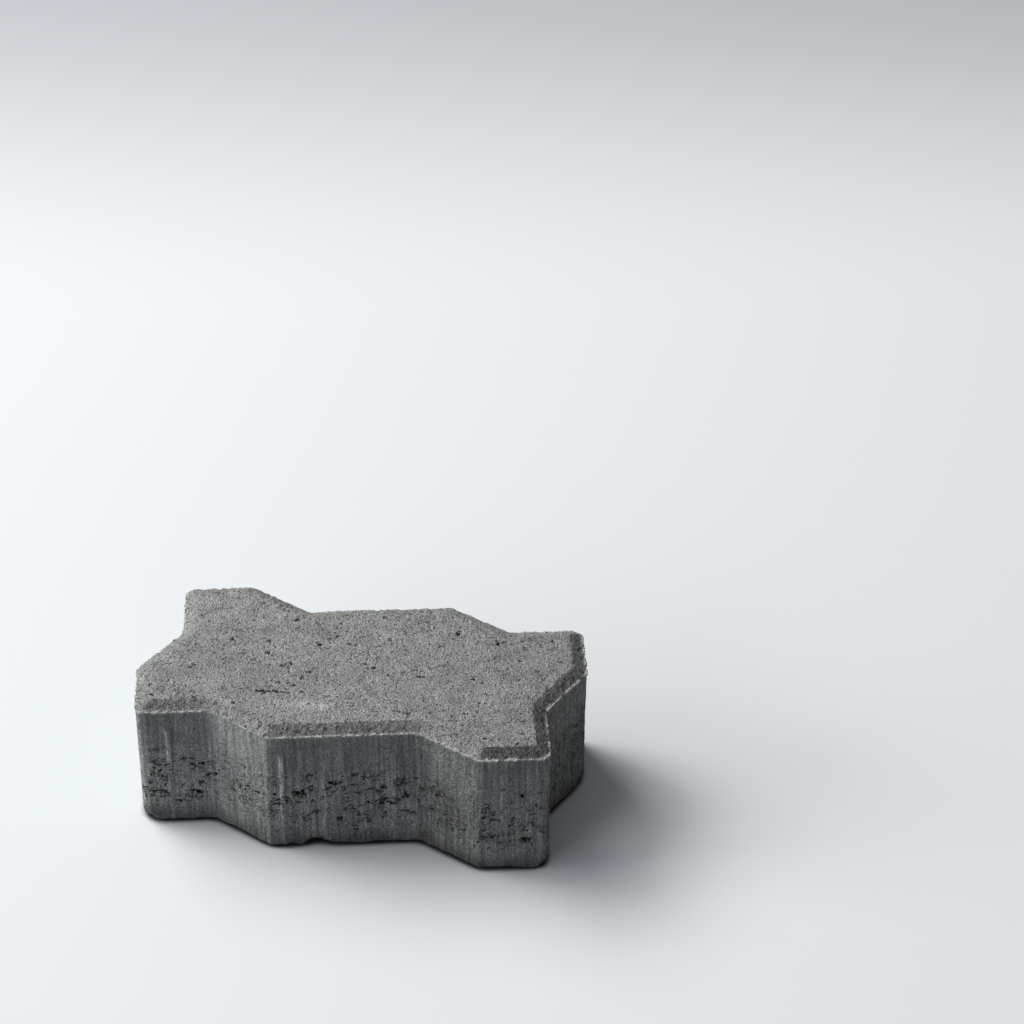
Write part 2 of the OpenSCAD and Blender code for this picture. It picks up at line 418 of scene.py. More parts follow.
# grain of the cast faces: height and size in millimetres
castGrain = {
    "warp": (0.25, 38.0),
    "sand": (0.25, 2.3),
    "grit": (0.13, 1.3),
    "wallGrit": 0.5,              # share of the grit on the sides
    "patches": (0.9, 17.0),       # where the wearing face is coarser
    "chamferGrit": (0.30, 3.0, 1.8),     # height, length, width
    "chamferSpeckle": 0.10,
    "drag": (0.12, 1.1, 26.0),    # height, width, length of the upright drag marks
    "broadDrag": (0.12, 4.0, 60.0),
    "wallSand": [0.4, 0.6, 0.4, 0.8, 0.4, 0.9, 1.1, 0.9,     # share of the sand, side by side
                 0.4, 0.6, 0.4, 0.6, 0.4, 0.9, 1.1, 0.9],
    "speckle": [0.0, 0.16, 0.0, 0.28, 0.0, 0.5, 0.5, 0.5,    # light and dark grains, side by side
                0.0, 0.12, 0.0, 0.12, 0.0, 0.5, 0.5, 0.5],
}


def layGrain(skin):
    points = skin.points
    height, size = castGrain["warp"]
    skin.move += height * grain(points, size, 1)
    strength, size = castGrain["patches"]
    coarse = np.clip(1.0 + strength * grain(points, size, 7), 0.35, 1.6)
    wallSand = sideValues(castGrain["wallSand"], len(points))
    share = np.where(skin.onBed, 0.0, np.where(skin.onWall, wallSand, coarse))
    height, sandSize = castGrain["sand"]
    skin.move += share * height * grain(points, sandSize, 2)
    height, size = castGrain["grit"]
    share = share * np.where(skin.onWall, castGrain["wallGrit"], 1.0)
    skin.move += share * height * grain(points, size, 3)
    height, length, width = castGrain["chamferGrit"]
    rough = grain(points, (length, length, width), 4)
    skin.move += skin.onChamfer * height * rough
    speckle = sideValues(castGrain["speckle"], len(points))
    skin.tint *= 1.0 + skin.onWall * speckle * grain(points, sandSize, 8)
    skin.tint += skin.onChamfer * castGrain["chamferSpeckle"] * rough
    for seed, name in ((5, "drag"), (6, "broadDrag")):
        height, width, length = castGrain[name]
        skin.move += skin.onWall * height * grain(points, (width, width, length), seed)
    print("grain laid")


# light drag streaks down the sides: side, distance from its start, width, top, strength
streaks = {
    "fade": 5.0,          # height over which a streak begins
    "wander": (3.0, 3.0, 9.0),
    "places": [
        (2, 29.0, 1.6, 62.0, 0.45), (2, 52.0, 0.9, 70.0, 0.12), (1, 9.0, 1.2, 72.0, 0.15),
        (1, 24.0, 1.6, 70.0, 0.15), (3, 15.0, 1.0, 74.0, 0.18), (3, 24.0, 1.4, 74.0, 0.18),
        (3, 30.0, 0.9, 74.0, 0.15), (4, 12.0, 1.1, 68.0, 0.20), (0, 27.0, 1.0, 72.0, 0.15),
        (6, 14.0, 1.4, 72.0, 0.15),
    ],
}


def dragStreaks(skin):
    for side, along, width, top, strength in streaks["places"]:
        for k in bothSides(side):
            beside, off = besideSide(skin.points, k, along)
            near = skin.onWall & (np.abs(beside) < 3.0 * width) & (np.abs(off) < 3.0)
            at = skin.points[near]
            band = np.exp(-(beside[near] / width) ** 2) * smoothStep(top, top - streaks["fade"], at[:, 2])
            band = band * np.clip(0.7 + grain(at, streaks["wander"], 60 + k), 0.0, 1.4)
            skin.move[near] += strength * band
            skin.tint[near] += strength * band
    print("streaks drawn")


# upright spacer ribs: side, distance from its start or end, how much of the rib the wear has left
ribs = {
    "radius": 1.75,
    "reach": 1.25,
    "tip": 5.0,
    "drop": 16.0,
    "wornFrom": (8.0, 46.0, 0.40),    # worn more towards the foot: from, to, share left there
    # painted highlight on the ribs, lighter as they stand out and towards the tip
    "tint": (38.0, 54.0, 0.45, 0.85),     # lighter towards the tip: from, to, share below, strength
    "places": [(0, 16.5, 0.65), (2, 7.5, 1.05), (2, -13.0, 0.55), (7, 13.0, 0.8)],
}


def raiseRibs(skin):
    ribTop = stoneTop - ribs["drop"]
    sink = ribs["radius"] - ribs["reach"]
    for side, along, left in ribs["places"]:
        for k in bothSides(side):
            beside, off = besideSide(skin.points, k, along)
            near = skin.onWall & (np.abs(beside) < 2.5) & (np.abs(off) < 3.0)
            at = skin.points[near]
            taper = np.clip((ribTop - at[:, 2]) / ribs["tip"], 0.0, 1.0)
            bar = np.sqrt(np.maximum(ribs["radius"] ** 2 - beside[near] ** 2, 0.0)) - sink
            worn = np.clip(left * (0.8 + 0.6 * grain(at, (2.0, 2.0, 7.0), 40 + k)), 0.12, 1.1)
            low, high, share = ribs["wornFrom"]
            worn = worn * (share + (1.0 - share) * smoothStep(low, high, at[:, 2]))
            bar = np.maximum(bar, 0.0) * smoothStep(0.0, 0.25, taper) * worn
            # painted highlight along each rib
            low, high, share, strength = ribs["tint"]
            skin.move[near] += bar
            light = share + (1.0 - share) * smoothStep(low, high, at[:, 2])
            skin.tint[near] += strength * bar / ribs["reach"] * light
    print("ribs raised")


# torn voids of the sides: broken lines of two noises, then those that stand out,
# which are given by side, distance from its start, height, length and the void's own height
tears = {
    "depth": 1.5,
    "topBand": (60.0, 44.0),        # none above the first height, all below the second
    "lowBand": (8.0, 24.0, 0.25),   # fewer below: from, to, share left
    "footBand": (1.0, 5.0),
    "torn": [1.0, 0.54, 0.82, 0.52, 0.62, 0.4, 0.4, 0.4,     # how torn each side is
             1.0, 0.58, 0.95, 0.45, 0.65, 0.4, 0.4, 0.4],
    "wander": (0.7, 3.0),           # how far a line strays, and over what length
    "crowd": (0.4, 14.0),           # how strongly the lines crowd together, and over what length
    "sparse": 0.30,                 # how much fewer they are where a side isn't torn
    "lines": [
        {"size": (4.6, 4.6, 2.0), "edge": (0.22, 0.10), "patch": (4.5, 4.5, 3.0), "open": (0.46, 0.56)},
        {"size": (2.8, 2.8, 2.8), "edge": (0.17, 0.07), "patch": (4.0, 4.0, 3.0), "open": (0.50, 0.60)},
    ],
    "placedDepth": 1.25,            # of those that stand out, against the rest
    "places": [
        (0, 25.9, 44.0, 6.5, 1.6), (0, 33.3, 40.0, 3.2, 2.0), (0, 32.9, 27.2, 3.4, 2.6),
        (0, 29.8, 20.8, 4.5, 3.6), (0, 13.2, 31.2, 2.4, 3.2), (0, 11.6, 17.6, 3.0, 2.0),
        (0, 21.7, 14.4, 6.0, 1.8), (0, 40.0, 42.0, 3.8, 1.8), (0, 40.5, 34.0, 2.6, 2.0),
        (0, 20.5, 33.0, 3.0, 1.2), (0, 36.5, 32.0, 2.2, 1.6),
        (1, 8.6, 40.0, 2.2, 1.6), (1, 14.0, 28.8, 2.4, 1.6), (1, 22.2, 16.8, 2.6, 1.6),
        (1, 31.1, 35.2, 3.6, 2.2), (1, 19.0, 33.0, 1.2, 2.6), (1, 26.0, 27.0, 1.4, 2.4),
        (1, 34.0, 24.0, 2.0, 1.6),
        (2, 3.0, 38.0, 2.6, 1.4), (2, 6.5, 31.0, 3.0, 2.6), (2, 15.9, 38.0, 6.4, 3.6),
        (2, 22.2, 50.0, 3.2, 3.0), (2, 23.8, 32.0, 2.6, 1.6), (2, 25.4, 24.8, 4.0, 1.6),
        (2, 35.7, 44.0, 7.4, 1.6), (2, 46.0, 49.2, 3.4, 1.8), (2, 48.4, 36.8, 3.2, 1.6),
        (2, 54.7, 39.2, 4.0, 3.2), (2, 58.5, 37.0, 4.2, 1.6), (2, 61.1, 22.0, 1.8, 3.0),
        (2, 72.2, 23.2, 5.6, 1.8), (2, 37.3, 19.2, 3.6, 2.6), (2, 46.0, 11.2, 2.6, 1.6),
        (2, 72.2, 32.8, 4.0, 3.0), (2, 71.4, 42.4, 2.6, 2.0), (2, 30.5, 40.0, 3.6, 1.2),
        (2, 42.0, 31.0, 2.8, 1.4),
        (3, 2.5, 39.0, 2.6, 2.4), (3, 11.7, 39.2, 2.0, 2.6), (3, 19.1, 40.0, 2.2, 1.6),
        (3, 25.3, 31.2, 2.0, 1.8), (3, 8.5, 28.0, 1.6, 1.8), (3, 16.7, 28.0, 2.0, 2.0),
        (3, 30.0, 24.0, 1.4, 2.4), (3, 22.0, 20.0, 1.4, 2.0),
        (4, 2.5, 37.0, 2.2, 1.8), (4, 9.0, 35.2, 6.2, 1.8), (4, 8.3, 24.0, 2.8, 2.2),
        (4, 24.8, 28.0, 2.8, 2.0), (4, 24.8, 20.8, 5.4, 4.0), (4, 23.0, 51.2, 2.0, 2.4),
        (4, 33.0, 42.0, 1.8, 1.6), (4, 13.2, 56.0, 2.4, 1.6), (4, 17.0, 31.0, 2.6, 1.4),
        (4, 3.0, 28.0, 2.6, 2.2),
        (5, 17.4, 32.0, 3.0, 1.8), (6, 30.0, 46.0, 3.2, 2.2), (6, 12.1, 42.0, 2.6, 1.6),
        (6, 19.8, 24.0, 2.6, 2.0), (7, 22.6, 33.6, 3.2, 2.0), (7, 27.1, 20.0, 2.6, 1.8),
    ],
}


def tearSides(skin):
    wall = skin.points[skin.onWall]
    up = wall[:, 2]
    strayed, length = tears["wander"]
    bent = wall + strayed * np.stack([grain(wall, length, seed) for seed in (14, 15, 16)], axis=1)
    strength, length = tears["crowd"]
    crowd = strength * grain(wall, length, 19)
    low, high, share = tears["lowBand"]
    band = smoothStep(*tears["topBand"], up) * (share + (1.0 - share) * smoothStep(low, high, up))
    band = band * smoothStep(*tears["footBand"], up)
    skin.torn[skin.onWall] = band * sideValues(tears["torn"], len(wall))
    sparse = tears["sparse"] * (1.0 - skin.torn[skin.onWall])
    depth = np.zeros(len(wall))
    for line, (seed, patchSeed) in zip(tears["lines"], ((11, 18), (12, 20))):
        mark = smoothStep(*line["edge"], np.abs(grain(bent, line["size"], seed)))
        patch = grain(wall, line["patch"], patchSeed) + crowd - sparse
        depth = np.maximum(depth, mark * smoothStep(*line["open"], patch) * band)
    for n, (side, along, middle, length, high) in enumerate(tears["places"]):
        for k in bothSides(side):
            beside, off = besideSide(wall, k, along)
            near = (np.abs(beside) < length) & (np.abs(off) < 4.0) & (np.abs(up - middle) < 1.5 * high)
            tear = voidDepth(beside[near], up[near] - middle, length, high, wall[near], 100 + 3 * n)
            depth[near] = np.maximum(depth[near], tears["placedDepth"] * tear)
    skin.move[skin.onWall] -= tears["depth"] * depth
    # painted light and shade low on each side
    lower = sideValues(tones["lower"], len(wall)) * smoothStep(*tones["lowerBand"], up)
    # painted shade darkens the foot of each side
    footShade = tones["foot"] * smoothStep(*tones["footBand"], up + 4.0 * grain(wall, 14.0, 23))
    # painted shade in the torn voids
    hollowShade = (1.0 - tones["hollowShade"]) * smoothStep(0.15, 0.8, depth)
    skin.tint[skin.onWall] *= (1.0 + lower) * (1.0 - footShade) * (1.0 - hollowShade)
    print("sides torn")


# pores of the wearing face, and the holes and tears that stand out there: x, y, length, width, turn
pores = {
    "count": 210,
    "size": (0.5, 1.1),
    "shape": (3.4, 2.4),        # length and width of a pore against its size
    "depth": 1.0,
    "placedDepth": 1.3,
    "placedWidth": 1.3,
    "smear": (-19.0, -37.5, 13.0, 3.6, 0.30),   # light smear: place, size, strength
    # painted shade: the wearing face grows darker towards the right end, away from the lamps
    "rightEndShade": (10.0, 80.0, 0.09),     # darker towards the right end: from, to, how much
    "cloud": (0.20, 7.5),       # soft patches: strength, size
    "places": [
        (-45.0, -29.3, 11.5, 2.5, 8.0), (-38.5, -28.6, 6.0, 1.1, 5.0), (-34.5, -28.6, 2.6, 2.0, -30.0),
        (-40.5, -5.0, 6.2, 2.4, 20.0), (-39.2, -7.5, 2.0, 2.2, 60.0), (-29.3, -15.3, 2.4, 2.0, 30.0),
        (-42.8, 33.8, 2.8, 2.4, 30.0), (-54.0, 13.1, 2.4, 2.0, 0.0), (-74.3, 11.3, 2.8, 1.8, 30.0),
        (5.6, -0.9, 5.0, 1.7, 15.0), (-25.9, 14.9, 2.6, 1.6, 50.0), (-22.2, 20.4, 2.0, 1.5, 20.0),
        (-17.3, 23.9, 3.4, 1.6, 10.0), (-6.4, 17.4, 2.0, 1.4, 0.0), (-59.4, -25.5, 2.6, 1.8, 25.0),
        (-108.0, -33.5, 2.2, 1.3, 30.0), (17.5, -17.0, 2.0, 1.4, 0.0), (46.6, 36.0, 3.4, 1.8, 70.0),
        (69.1, 31.1, 2.8, 1.8, 40.0), (0.0, 2.0, 6.0, 1.3, 10.0), (-83.0, 9.0, 3.0, 1.2, 30.0),
        (-32.0, -22.0, 1.6, 1.8, 0.0), (33.1, -4.1, 4.0, 1.5, 30.0), (60.8, -1.0, 2.4, 2.0, 0.0),
        (-90.0, -16.0, 3.2, 1.1, 35.0), (75.0, -49.0, 2.2, 1.6, 0.0),
    ],
}


def sinkPores(skin):
    random = np.random.default_rng(stone["seed"])
    face = skin.points[skin.onFace]
    depth = np.zeros(len(face))
    spots = random.uniform(face[:, :2].min(axis=0), face[:, :2].max(axis=0), (pores["count"], 2))
    small, large = pores["size"]
    sizes = small + (large - small) * random.random(len(spots)) ** 2
    deep = pores["depth"] * (0.3 + 0.7 * random.random(len(spots)))
    for (x, y), size, most in zip(spots, sizes, deep):
        near = (np.abs(face[:, 0] - x) < 3.0) & (np.abs(face[:, 1] - y) < 3.0)
        if near.any():
            length, width = (share * size for share in pores["shape"])
            pore = voidDepth(face[near, 0] - x, face[near, 1] - y, length, width, face[near], 300)
            depth[near] = np.maximum(depth[near], most * pore)
    for n, (x, y, length, width, turn) in enumerate(pores["places"]):
        near = np.hypot(face[:, 0] - x, face[:, 1] - y) < length
        c, s = math.cos(math.radians(turn)), math.sin(math.radians(turn))
        dx, dy = face[near, 0] - x, face[near, 1] - y
        width = pores["placedWidth"] * width
        tear = voidDepth(dx * c + dy * s, dy * c - dx * s, length, width, face[near], 400 + 3 * n)
        depth[near] = np.maximum(depth[near], pores["placedDepth"] * tear)
    skin.move[skin.onFace] -= depth
    x, y, length, width, strength = pores["smear"]
    smear = np.hypot((face[:, 0] - x) / length, (face[:, 1] - y) / width) + 0.4 * grain(face, 5.0, 24)
    light = 1.0 + strength * smoothStep(1.2, 0.5, smear)
    # painted shade towards the right end
    low, high, strength = pores["rightEndShade"]
    light = light * (1.0 - strength * smoothStep(low, high, face[:, 0]))
    strength, size = pores["cloud"]
    light = light * (1.0 + strength * grain(face, size, 25))
    # painted shade in the pores and holes
    hollowShade = (1.0 - tones["hollowShade"]) * smoothStep(0.1, 1.1, depth)
    skin.tint[skin.onFace] *= light * (1.0 - hollowShade)
    print("pores sunk")


# ragged lip that the mould leaves along the arris
lip = {
    "height": 0.75,
    "width": 0.65,
    "reach": 3.0,
    "steep": 1.9,           # how much faster it fades up the chamfer
    "fullTone": 0.6,        # a side at least this light has the whole lip
    # strength of the painted highlight along the lip on each side, which also sets the bead's height
    "tones": [0.62, 0.20, 0.66, 0.38, 0.66, 0.70, 0.75, 0.70,
              0.5, 0.1, 0.5, 0.1, 0.5, 0.5, 0.5, 0.5],
}


def raiseLip(skin):
    up = skin.points[:, 2] - arrisHeight
    fromArris = np.where(skin.onChamfer, up * lip["steep"], -up)
    near = (skin.onWall | skin.onChamfer) & (fromArris < lip["reach"])
    fromArris = fromArris[near]
    tone = sideValues(lip["tones"], len(skin.points))[near]
    flat = skin.points[near] * [1.0, 1.0, 0.0]
    ragged = np.clip(0.72 + 0.9 * grain(flat, 5.0, 21) + 0.7 * grain(flat, 2.0, 22), 0.05, 1.6)
    bead = np.exp(-(fromArris / lip["width"]) ** 2)
    skin.move[near] += lip["height"] * np.minimum(1.0, tone / lip["fullTone"]) * ragged * bead
    # painted highlight along the raised lip, lifting the tint towards white and beyond
    shine = np.exp(-(fromArris / ((0.8 + 0.7 * ragged) * lip["width"])) ** 2)
    skin.tint[near] += (1.0 - skin.tint[near]) * shine + tone * ragged * shine
    print("lip raised")


# relief over the smooth stone: where each point goes, how light it is and how torn
def castRelief(points, facing, zone, tone):
    skin = SimpleNamespace(
        points=points,
        onWall=zone == wallZone,
        onChamfer=zone == chamferZone,
        onFace=zone == faceZone,
        onBed=zone == bedZone,
        move=np.zeros(len(points)),
        tint=tone.copy(),
        torn=np.zeros(len(points)))
    for step in (layGrain, dragStreaks, raiseRibs, tearSides, sinkPores, raiseLip):
        step(skin)
    moved = points + facing * skin.move[:, None]
    moved[:, 2] = np.maximum(moved[:, 2], 0.02)     # nothing below the floor
    return moved, skin.tint, skin.torn


# mesh of the finished stone, thinned where it is flat
def buildStone():
    points, facing, zone, tone, quads = smoothStone()
    print("smooth stone", len(points), "points", len(quads), "quads")
    moved, tint, tornMark = castRelief(points, facing, zone, tone)
    mesh = bpy.data.meshes.new("castStone")
    mesh.vertices.add(len(moved))
    mesh.vertices.foreach_set("co", (moved * mm).astype(np.float32).ravel())
    mesh.loops.add(quads.size)
    mesh.loops.foreach_set("vertex_index", quads.astype(np.int32).ravel())
    mesh.polygons.add(len(quads))
    mesh.polygons.foreach_set("loop_start", np.arange(0, quads.size, 4, dtype=np.int32))
    mesh.update(calc_edges=True)
    mesh.validate()
    # the tint holds the concrete's tone together with painted light and shade
    for name, values in (("tint", tint), ("torn", tornMark)):
        layer = mesh.attributes.new(name, "FLOAT", "POINT")
        layer.data.foreach_set("value", values.astype(np.float32))
    piece = bpy.data.objects.new("cast_stone", mesh)
    bpy.context.scene.collection.objects.link(piece)
    thin = piece.modifiers.new("thin", "DECIMATE")
    thin.ratio = stone["triangles"] / (2.0 * len(quads))
    evaluated = piece.evaluated_get(bpy.context.evaluated_depsgraph_get())
    thinned = bpy.data.meshes.new_from_object(evaluated)
    piece.modifiers.clear()
    piece.data = thinned
    thinned.name = "castStone"
    bpy.data.meshes.remove(mesh)
    thinned.polygons.foreach_set("use_smooth", np.ones(len(thinned.polygons), dtype=bool))
    thinned.update()
    triangles = sum(len(p.vertices) - 2 for p in thinned.polygons)
    print("cast stone", len(thinned.vertices), "points", triangles, "triangles")
    return piece


# grey concrete: tones, then noise layers by scale per metre, with the span of the noise that shows
concrete = {
    "paleTone": (0.372, 0.377, 0.366, 1.0),
    "darkTone": (0.320, 0.325, 0.317, 1.0),
    "sideEdge": (0.5, -1.0),      # millimetres from the arris over which the sides' finish begins
    "mottle": {"scale": 45.0, "detail": 4.0, "shift": 3.1, "edge": (0.32, 0.68)},
    "cloud": {"scale": 190.0, "detail": 3.0, "shift": 5.3, "edge": (0.25, 0.75), "strength": 0.12},
    "sand": {"scale": 1000.0, "detail": 4.0, "shift": 7.9, "edge": (0.25, 0.75), "strength": 0.50,
             "onSides": 0.62},
    "grains": {"scale": 820.0, "edge": (0.15, 0.80), "between": 0.89, "above": 1.08},
    "streak": {"scale": 560.0, "detail": 3.0, "shift": 1.7, "edge": (0.25, 0.75), "strength": 0.32,
               "stretch": (1.0, 1.0, 0.05)},
    "pit": {"scale": 540.0, "detail": 2.0, "shift": 2.3, "edge": (0.30, 0.42), "strength": 0.58,
            "onSides": 0.45},
    # dark marks and hairline tears, painted shade of small recesses, and pale grains of the torn sides
    "dash": {"scale": 470.0, "detail": 2.0, "shift": 4.1, "edge": (0.32, 0.41), "strength": 0.55,
             "stretch": (1.0, 1.0, 1.5), "torn": (0.02, 0.42)},
    "hair": {"scale": 200.0, "detail": 3.0, "shift": 8.9, "edge": (0.028, 0.036), "strength": 0.94,
             "stretch": (1.0, 1.0, 2.0), "bend": 1.0, "torn": (0.2, 0.8)},
    "gate": {"scale": 115.0, "detail": 1.0, "shift": 5.9, "edge": (0.55, 0.57)},
    "crowd": {"scale": 75.0, "detail": 1.0, "shift": 3.7, "strength": 0.5},
    "speck": {"scale": 620.0, "detail": 2.0, "shift": 1.3, "edge": (0.54, 0.68), "strength": 0.40,
              "torn": (0.02, 0.5)},
    # dark marks of the wearing face, painted shade of its creases, fewer in its smoother patches
    "crease": {"scale": 480.0, "detail": 2.0, "shift": 6.7, "edge": (0.33, 0.43), "strength": 0.60},
    "coarse": {"scale": 55.0, "detail": 2.0, "shift": 2.9, "edge": (0.38, 0.62), "least": 0.3},
    "grit": {"scale": 1400.0, "detail": 2.0, "shift": 9.7},
    "roughness": (0.84, 0.97),
    "gloss": 0.25,
    "bump": {"sand": 0.8, "grit": 0.3, "grains": 0.13, "marks": 0.30, "depth": 2.0},
}


def addNode(tree, kind, **values):
    node = tree.nodes.new(kind)
    for name, value in values.items():
        setattr(node, name, value)
    return node


# one noise layer of the concrete
def noiseLayer(tree, place, layer):
    shift = layer["shift"]
    mapping = addNode(tree, "ShaderNodeMapping")
    mapping.inputs["Location"].default_value = (shift, 0.37 * shift, 0.71 * shift)
    mapping.inputs["Scale"].default_value = layer.get("stretch", (1.0, 1.0, 1.0))
    noise = addNode(tree, "ShaderNodeTexNoise")
    noise.inputs["Scale"].default_value = layer["scale"]
    noise.inputs["Detail"].default_value = layer["detail"]
    noise.inputs["Roughness"].default_value = 0.6
    noise.inputs["Distortion"].default_value = layer.get("bend", 0.0)
    tree.links.new(place, mapping.inputs["Vector"])
    tree.links.new(mapping.outputs["Vector"], noise.inputs["Vector"])
    return noise.outputs["Fac"]


# a value eased from one span to another
def spanOf(tree, value, fromLow, fromHigh, toLow, toHigh):
    span = addNode(tree, "ShaderNodeMapRange", interpolation_type="SMOOTHSTEP")
    span.inputs["From Min"].default_value = fromLow
    span.inputs["From Max"].default_value = fromHigh
    span.inputs["To Min"].default_value = toLow
    span.inputs["To Max"].default_value = toHigh
    tree.links.new(value, span.inputs["Value"])
    return span.outputs["Result"]


def mathOf(tree, operation, a, b):
    node = addNode(tree, "ShaderNodeMath", operation=operation)
    for socket, value in zip(node.inputs, (a, b)):
        if isinstance(value, float):
            socket.default_value = value
        else:
            tree.links.new(value, socket)
    return node.outputs["Value"]


def plus(tree, a, b):
    return mathOf(tree, "ADD", a, b)


def minus(tree, a, b):
    return mathOf(tree, "SUBTRACT", a, b)


def times(tree, a, b):
    return mathOf(tree, "MULTIPLY", a, b)


# what is left of a share under a dark mark
def darken(tree, share, mark):
    return times(tree, share, minus(tree, 1.0, mark))


def mixOf(tree, factor, a, b, blend="MIX"):
    node = addNode(tree, "ShaderNodeMix", data_type="RGBA", blend_type=blend)
    for socket, value in ((node.inputs["Factor"], factor), (node.inputs[6], a), (node.inputs[7], b)):
        if isinstance(value, (float, tuple)):
            socket.default_value = value
        else:
            tree.links.new(value, socket)
    return node.outputs[2]


# hairline tears, painted as dark shade: level lines of a noise, broken up by a second and crowded by a
# third
def hairTears(tree, place, tornMask):
    layer, gate, crowd = concrete["hair"], concrete["gate"], concrete["crowd"]
    line = mathOf(tree, "ABSOLUTE", minus(tree, noiseLayer(tree, place, layer), 0.5), 0.0)
    hair = spanOf(tree, line, *layer["edge"], layer["strength"], 0.0)
    together = times(tree, minus(tree, noiseLayer(tree, place, crowd), 0.5), crowd["strength"])
    opened = plus(tree, noiseLayer(tree, place, gate), together)
    hair = times(tree, hair, spanOf(tree, opened, *gate["edge"], 0.0, 1.0))
    return times(tree, hair, spanOf(tree, tornMask, *layer["torn"], 0.0, 1.0))


def concreteMaterial():
    material = bpy.data.materials.new("castConcrete")
    material.use_nodes = True
    tree = material.node_tree
    shader = tree.nodes["Principled BSDF"]
    place = addNode(tree, "ShaderNodeTexCoord").outputs["Object"]
    split = addNode(tree, "ShaderNodeSeparateXYZ")
    tree.links.new(place, split.inputs["Vector"])
    above, below = concrete["sideEdge"]
    edge = ((arrisHeight + above) * mm, (arrisHeight + below) * mm)
    wallMask = spanOf(tree, split.outputs["Z"], *edge, 0.0, 1.0)
    faceMask = minus(tree, 1.0, wallMask)
    tornMask = addNode(tree, "ShaderNodeAttribute", attribute_name="torn").outputs["Fac"]
    tint = addNode(tree, "ShaderNodeAttribute", attribute_name="tint").outputs["Fac"]

    # broad tone, with clouds and sand over it
    layer = concrete["mottle"]
    mottle = spanOf(tree, noiseLayer(tree, place, layer), *layer["edge"], 0.0, 1.0)
    tone = mixOf(tree, mottle, concrete["darkTone"], concrete["paleTone"])
    layer = concrete["cloud"]
    cloud = noiseLayer(tree, place, layer)
    cloud = spanOf(tree, cloud, *layer["edge"], 1.0 - layer["strength"], 1.0 + layer["strength"])
    layer = concrete["sand"]
    sand = noiseLayer(tree, place, layer)
    sandy = spanOf(tree, sand, *layer["edge"], -layer["strength"], layer["strength"])
    sandy = times(tree, sandy, spanOf(tree, wallMask, 0.0, 1.0, 1.0, layer["onSides"]))
    share = times(tree, cloud, plus(tree, 1.0, sandy))
    layer = concrete["grains"]
    cells = addNode(tree, "ShaderNodeTexVoronoi")
    cells.inputs["Scale"].default_value = layer["scale"]
    tree.links.new(place, cells.inputs["Vector"])
    grains = spanOf(tree, cells.outputs["Distance"], *layer["edge"], 1.0, 0.0)
    share = times(tree, share, spanOf(tree, grains, 0.0, 1.0, layer["between"], layer["above"]))

    # upright streaks of the sides
    layer = concrete["streak"]
    streak = noiseLayer(tree, place, layer)
    streak = spanOf(tree, streak, *layer["edge"], -layer["strength"], layer["strength"])
    share = times(tree, share, plus(tree, times(tree, streak, wallMask), 1.0))

    # dark marks, painted shade of small recesses over shallow bump dents: pits all over, dashes and
    # hairlines where a side is torn, creases on the wearing face
    layer = concrete["pit"]
    pit = spanOf(tree, noiseLayer(tree, place, layer), *layer["edge"], 1.0, 0.0)
    pit = times(tree, pit, spanOf(tree, wallMask, 0.0, 1.0, 1.0, layer["onSides"]))
    share = darken(tree, share, times(tree, pit, layer["strength"]))
    layer = concrete["dash"]
    dash = spanOf(tree, noiseLayer(tree, place, layer), *layer["edge"], layer["strength"], 0.0)
    dash = times(tree, dash, spanOf(tree, tornMask, *layer["torn"], 0.0, 1.0))
    share = darken(tree, share, dash)
    layer = concrete["crease"]
    crease = spanOf(tree, noiseLayer(tree, place, layer), *layer["edge"], layer["strength"], 0.0)
    layer = concrete["coarse"]
    coarse = spanOf(tree, noiseLayer(tree, place, layer), *layer["edge"], layer["least"], 1.0)
    crease = times(tree, times(tree, crease, coarse), faceMask)
    share = darken(tree, share, crease)
    hair = hairTears(tree, place, tornMask)
    share = darken(tree, share, hair)

    # pale grains between the tears, and the tint laid on the mesh, which holds the concrete's tone
    # together with painted light and shade
    layer = concrete["speck"]
    speck = spanOf(tree, noiseLayer(tree, place, layer), *layer["edge"], 0.0, layer["strength"])
    speck = times(tree, speck, spanOf(tree, tornMask, *layer["torn"], 0.0, 1.0))
    share = times(tree, times(tree, share, plus(tree, 1.0, speck)), tint)
    tree.links.new(mixOf(tree, 1.0, tone, share, "MULTIPLY"), shader.inputs["Base Color"])

    # dry matt surface with a sandy grain
    tree.links.new(spanOf(tree, sand, 0.3, 0.7, *concrete["roughness"]), shader.inputs["Roughness"])
    shader.inputs["Specular IOR Level"].default_value = concrete["gloss"]
    part = concrete["bump"]
    grit = noiseLayer(tree, place, concrete["grit"])
    bumps = plus(tree, times(tree, sand, part["sand"]), times(tree, grit, part["grit"]))
    bumps = plus(tree, bumps, times(tree, grains, part["grains"]))
    marks = plus(tree, plus(tree, pit, dash), plus(tree, crease, hair))
    bumps = minus(tree, bumps, times(tree, marks, part["marks"]))
    bump = addNode(tree, "ShaderNodeBump")
    bump.inputs["Strength"].default_value = 1.0
    bump.inputs["Distance"].default_value = part["depth"] * mm
    tree.links.new(bumps, bump.inputs["Height"])
    tree.links.new(bump.outputs["Normal"], shader.inputs["Normal"])
    return material


castStone = buildStone()
castStone.data.materials.clear()
castStone.data.materials.append(concreteMaterial())
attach(castStone, "root")
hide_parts("paving_stone")
print("stone dressed")

